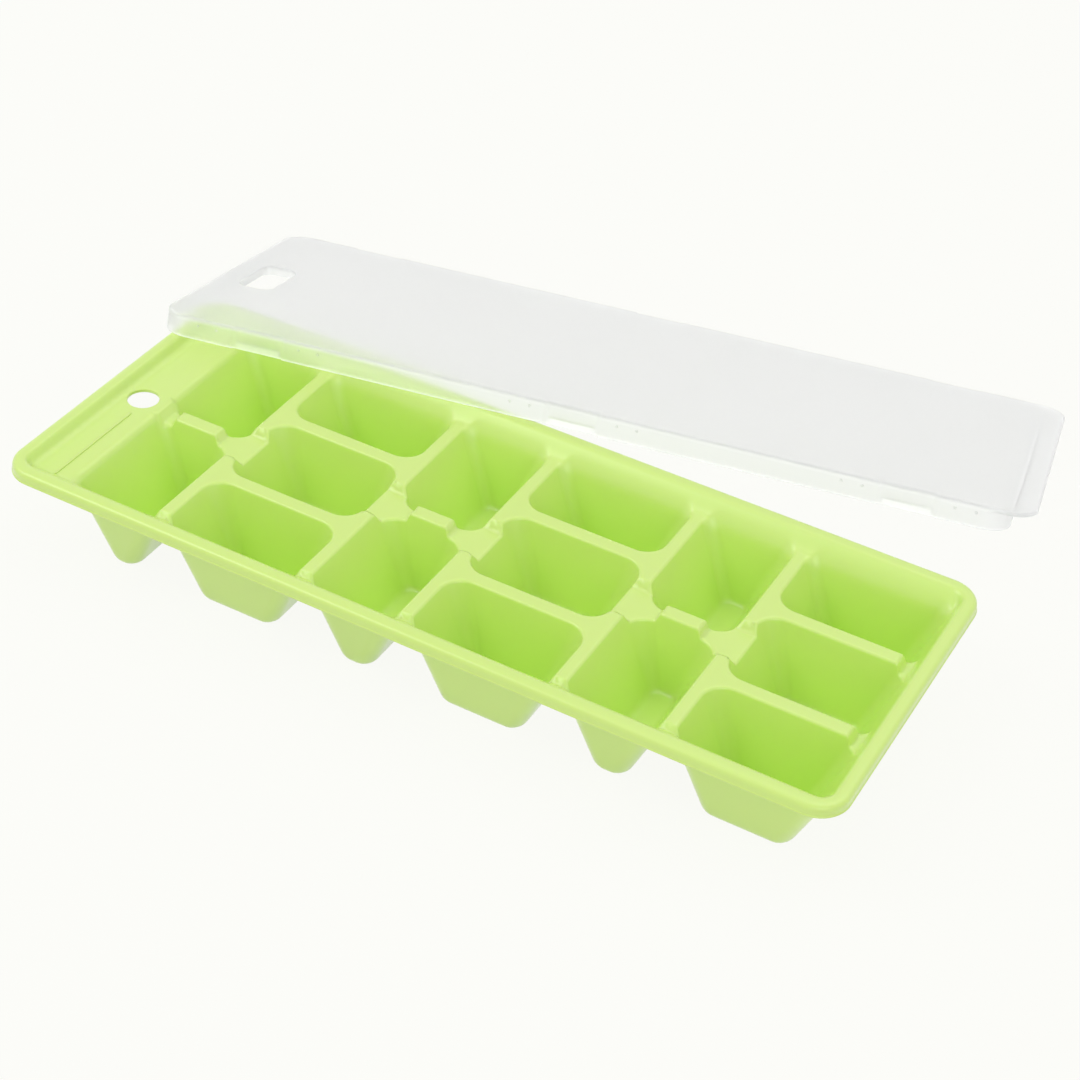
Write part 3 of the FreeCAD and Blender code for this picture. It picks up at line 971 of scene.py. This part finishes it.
@dataclass(frozen=True)
class Finish:
    """What the two plastics share: a name, a roughness and the fine grain of the mould."""

    name: str
    colour: tuple[float, float, float]
    roughness: float
    grain_height: float

    def start(self, group: bpy.types.NodeTree) -> tuple[bpy.types.Material, bpy.types.Node, bpy.types.Node]:
        """Starts the material with its grain.

        Args:
            group: The moulded grain group.

        Returns:
            The material, its shader and its grain node.
        """
        material = bpy.data.materials.new(self.name)
        material.use_nodes = True
        nodes, links = material.node_tree.nodes, material.node_tree.links
        shader = nodes["Principled BSDF"]
        grain = nodes.new("ShaderNodeGroup")
        grain.node_tree = group
        bump = nodes.new("ShaderNodeBump")
        bump.inputs["Distance"].default_value = self.grain_height
        links.new(grain.outputs["Height"], bump.inputs["Height"])
        links.new(bump.outputs["Normal"], shader.inputs["Normal"])
        return material, shader, grain


@dataclass(frozen=True)
class MouldedPlastic(Finish):
    """Satin moulded plastic whose tone drifts slightly between its colour and a paler one."""

    pale: tuple[float, float, float]
    glow: float
    glow_depth: float = 0.002
    glow_reach: tuple[float, float, float] = (0.8, 1.0, 0.25)
    coat: float = 0.9
    coat_roughness: float = 0.3
    refraction: float = 1.55

    def make(self, group: bpy.types.NodeTree) -> bpy.types.Material:
        """Builds the material.

        Args:
            group: The moulded grain group.

        Returns:
            The material.
        """
        material, shader, grain = self.start(group)
        tone = material.node_tree.nodes.new("ShaderNodeMix")
        tone.data_type = "RGBA"
        tone.inputs["A"].default_value = (*self.colour, 1.0)
        tone.inputs["B"].default_value = (*self.pale, 1.0)
        material.node_tree.links.new(grain.outputs["Tone"], tone.inputs["Factor"])
        material.node_tree.links.new(tone.outputs["Result"], shader.inputs["Base Color"])
        for label, value in (("Roughness", self.roughness), ("IOR", self.refraction),
                             ("Coat Weight", self.coat), ("Coat Roughness", self.coat_roughness),
                             ("Subsurface Weight", self.glow), ("Subsurface Scale", self.glow_depth),
                             ("Subsurface Radius", self.glow_reach)):
            shader.inputs[label].default_value = value
        return material


@dataclass(frozen=True)
class FrostedPlastic(Finish):
    """Milky see-through plastic that blurs what lies behind it, and lets most light on to what it covers.

    Its edges are rougher and carry a painted highlight, emission that brightens them over a faint painted glow
    on all of the lid. The camera sees body, and shadow and diffuse rays see shade.
    """

    edge_roughness: float = 0.75
    # Painted glow over the whole lid and a painted highlight on its edges, both as emission, though the lid is
    # no lamp.
    glow: float = 0.02
    edge_painted_highlight: float = 0.12
    clear: float = 0.82
    refraction: float = 1.49
    body: float = 0.92
    shade: float = 0.12

    def make(self, group: bpy.types.NodeTree) -> bpy.types.Material:
        """Builds the material.

        Args:
            group: The moulded grain group.

        Returns:
            The material.
        """
        material, shader, _ = self.start(group)
        tree = material.node_tree
        path = tree.nodes.new("ShaderNodeLightPath")
        thrown = either(tree, path.outputs["Is Shadow Ray"], path.outputs["Is Diffuse Ray"])
        edge = tree.nodes.new("ShaderNodeAttribute")
        edge.attribute_name = "edge"
        rough_and_painted_highlight = edge.outputs["Fac"]
        # Alpha drops for shadow and diffuse rays; the edge weight raises roughness and paints a highlight as
        # emission over the painted glow.
        for source, low, high, socket in ((thrown, self.body, self.shade, "Alpha"),
                                          (rough_and_painted_highlight, self.roughness, self.edge_roughness, "Roughness"),
                                          (rough_and_painted_highlight, self.glow, self.edge_painted_highlight, "Emission Color")):
            between = tree.nodes.new("ShaderNodeMapRange")
            between.inputs["To Min"].default_value = low
            between.inputs["To Max"].default_value = high
            tree.links.new(source, between.inputs["Value"])
            tree.links.new(between.outputs["Result"], shader.inputs[socket])
        for label, value in (("Base Color", (*self.colour, 1.0)), ("IOR", self.refraction),
                             ("Transmission Weight", self.clear), ("Emission Strength", 1.0)):
            shader.inputs[label].default_value = value
        return material


# ---- studio
@dataclass(frozen=True)
class Viewpoint:
    """Where the camera stands: turned about the tray's centre, raised, rolled and set back from it."""

    azimuth: float = 26.613
    elevation: float = 38.654
    roll: float = 4.261
    distance: float = 709.2
    shift_right: float = 16.125
    shift_up: float = 21.231
    aim: tuple[float, float, float] = (-23.6, 0.0, 0.0)
    lens: float = 78.083
    sensor: float = 36.0

    def place(self) -> None:
        """Adds the camera and makes it the scene's."""
        a, e, r = (math.radians(v) for v in (self.azimuth, self.elevation, self.roll))
        back = Vector((math.sin(a) * math.cos(e), -math.cos(a) * math.cos(e), math.sin(e)))
        right = (-back).cross(Vector((0, 0, 1))).normalized()
        up = right.cross(-back)
        across = math.cos(r) * right + math.sin(r) * up
        above = -math.sin(r) * right + math.cos(r) * up
        spot = Vector(self.aim) + back * self.distance + right * self.shift_right + up * self.shift_up
        data = bpy.data.cameras.new("camera")
        data.lens, data.sensor_width = self.lens, self.sensor
        data.clip_start, data.clip_end = 0.01, 20.0
        camera = bpy.data.objects.new("camera", data)
        turned = Matrix((across, above, back)).transposed().to_4x4()
        camera.matrix_world = Matrix.Translation(spot * MM) @ turned
        bpy.context.scene.collection.objects.link(camera)
        bpy.context.scene.camera = camera


@dataclass(frozen=True)
class SoftLamp:
    """Square lamp that faces the object."""

    name: str
    spot: tuple[float, float, float]
    size: float
    power: float

    def place(self) -> None:
        """Adds the lamp, turned to the middle of the object."""
        data = bpy.data.lights.new(self.name, "AREA")
        data.size, data.energy = self.size, self.power
        lamp = bpy.data.objects.new(self.name, data)
        lamp.location = self.spot
        aim = Vector((-0.02, 0.03, 0.01)) - Vector(self.spot)
        lamp.rotation_euler = aim.to_track_quat("-Z", "Y").to_euler()
        bpy.context.scene.collection.objects.link(lamp)


class Studio:
    """Pale floor, white surroundings and soft lamps."""

    white = (0.99, 0.991, 0.957, 1.0)
    ambient = 0.55
    floor_half = 9.0
    floor_colour = (0.86, 0.86, 0.84, 1.0)
    floor_roughness = 0.9
    floor_gloss = 0.1
    floor_shadow = 0.07
    lamps = (
        SoftLamp("key_lamp", (-0.9, -0.5, 1.3), 0.9, 5.6),
        SoftLamp("top_lamp", (0.2, 0.6, 1.5), 1.2, 4.2),
        SoftLamp("fill_lamp", (1.0, -1.1, 0.8), 1.0, 3.4),
    )

    def seen_white(self, tree: bpy.types.NodeTree, plain: bpy.types.NodeSocket) -> bpy.types.NodeSocket:
        """Mixes a shader with plain white for rays from the camera, reflections and clear plastic.

        Args:
            tree: Node tree that holds the shader.
            plain: Shader for all other rays.

        Returns:
            The mixed shader.
        """
        path = tree.nodes.new("ShaderNodeLightPath")
        direct = either(tree, path.outputs["Is Camera Ray"], path.outputs["Is Glossy Ray"])
        seen = either(tree, direct, path.outputs["Is Transmission Ray"])
        in_world = tree == bpy.context.scene.world.node_tree
        glow = tree.nodes.new("ShaderNodeBackground" if in_world else "ShaderNodeEmission")
        glow.inputs["Color"].default_value = self.white
        mix = tree.nodes.new("ShaderNodeMixShader")
        for i, source in enumerate((seen, plain, glow.outputs[0])):
            tree.links.new(source, mix.inputs[i])
        return mix.outputs[0]

    def surroundings(self) -> None:
        """White world, dimmer as a light than it looks."""
        world = bpy.data.worlds.new("studio")
        bpy.context.scene.world = world
        world.use_nodes = True
        tree = world.node_tree
        plain = tree.nodes["Background"]
        plain.inputs["Color"].default_value = (1.0, 1.0, 1.0, 1.0)
        plain.inputs["Strength"].default_value = self.ambient
        tree.links.new(self.seen_white(tree, plain.outputs[0]), tree.nodes["World Output"].inputs["Surface"])

    def floor(self) -> None:
        """Pale floor: white for the camera and reflections, but for the share that shows the shadow."""
        half = self.floor_half
        mesh = bpy.data.meshes.new("floor")
        mesh.from_pydata([(-half, -half, 0), (half, -half, 0), (half, half, 0), (-half, half, 0)], [],
                         [(0, 1, 2, 3)])
        floor = bpy.data.objects.new("floor", mesh)
        bpy.context.scene.collection.objects.link(floor)
        material = bpy.data.materials.new("pale_floor")
        material.use_nodes = True
        tree = material.node_tree
        shader = tree.nodes["Principled BSDF"]
        for label, value in (("Base Color", self.floor_colour), ("Roughness", self.floor_roughness),
                             ("Specular IOR Level", self.floor_gloss)):
            shader.inputs[label].default_value = value
        share = tree.nodes.new("ShaderNodeMixShader")
        share.inputs[0].default_value = self.floor_shadow
        tree.links.new(self.seen_white(tree, shader.outputs[0]), share.inputs[1])
        tree.links.new(shader.outputs[0], share.inputs[2])
        tree.links.new(share.outputs[0], tree.nodes["Material Output"].inputs["Surface"])
        floor.data.materials.append(material)

    def build(self) -> None:
        """Builds the studio."""
        self.surroundings()
        self.floor()
        for lamp in self.lamps:
            lamp.place()


# ---- the object
@dataclass
class IceTray:
    """The moulded tray, which stands for its solid."""

    form: TrayForm = field(default_factory=TrayForm)
    finish: MouldedPlastic = MouldedPlastic("lime_plastic", colour=(0.70, 0.935, 0.215), roughness=0.34,
                                            grain_height=0.00002, pale=(0.715, 0.95, 0.235), glow=0.2)

    def build(self, grain: bpy.types.NodeTree) -> None:
        """Builds and dresses the tray.

        Args:
            grain: The moulded grain group.
        """
        piece = TrayBuilder(self.form).build()
        piece.data.materials.append(self.finish.make(grain))
        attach(piece, "tray")
        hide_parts("tray")
        LOG.info("tray: %d faces", len(piece.data.polygons))


@dataclass
class FrostedLid:
    """The clip-on lid, which stands for its solid."""

    form: LidForm = field(default_factory=LidForm)
    finish: FrostedPlastic = FrostedPlastic("frosted_plastic", colour=(0.985, 0.992, 1.0), roughness=0.3,
                                            grain_height=0.00001)

    def build(self, grain: bpy.types.NodeTree) -> None:
        """Builds and dresses the lid.

        Args:
            grain: The moulded grain group.
        """
        piece = LidBuilder(self.form).build()
        piece.data.materials.append(self.finish.make(grain))
        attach(piece, "lid")
        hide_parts("lid")
        LOG.info("lid: %d faces", len(piece.data.polygons))


def main() -> None:
    """Builds the object, then the studio and the camera."""
    logging.basicConfig(level=logging.INFO)
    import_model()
    bpy.context.scene.view_settings.view_transform = "Standard"
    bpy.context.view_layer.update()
    grain = moulded_grain()
    IceTray().build(grain)
    FrostedLid().build(grain)
    Studio().build()
    Viewpoint().place()


if __name__ == "__main__":
    main()
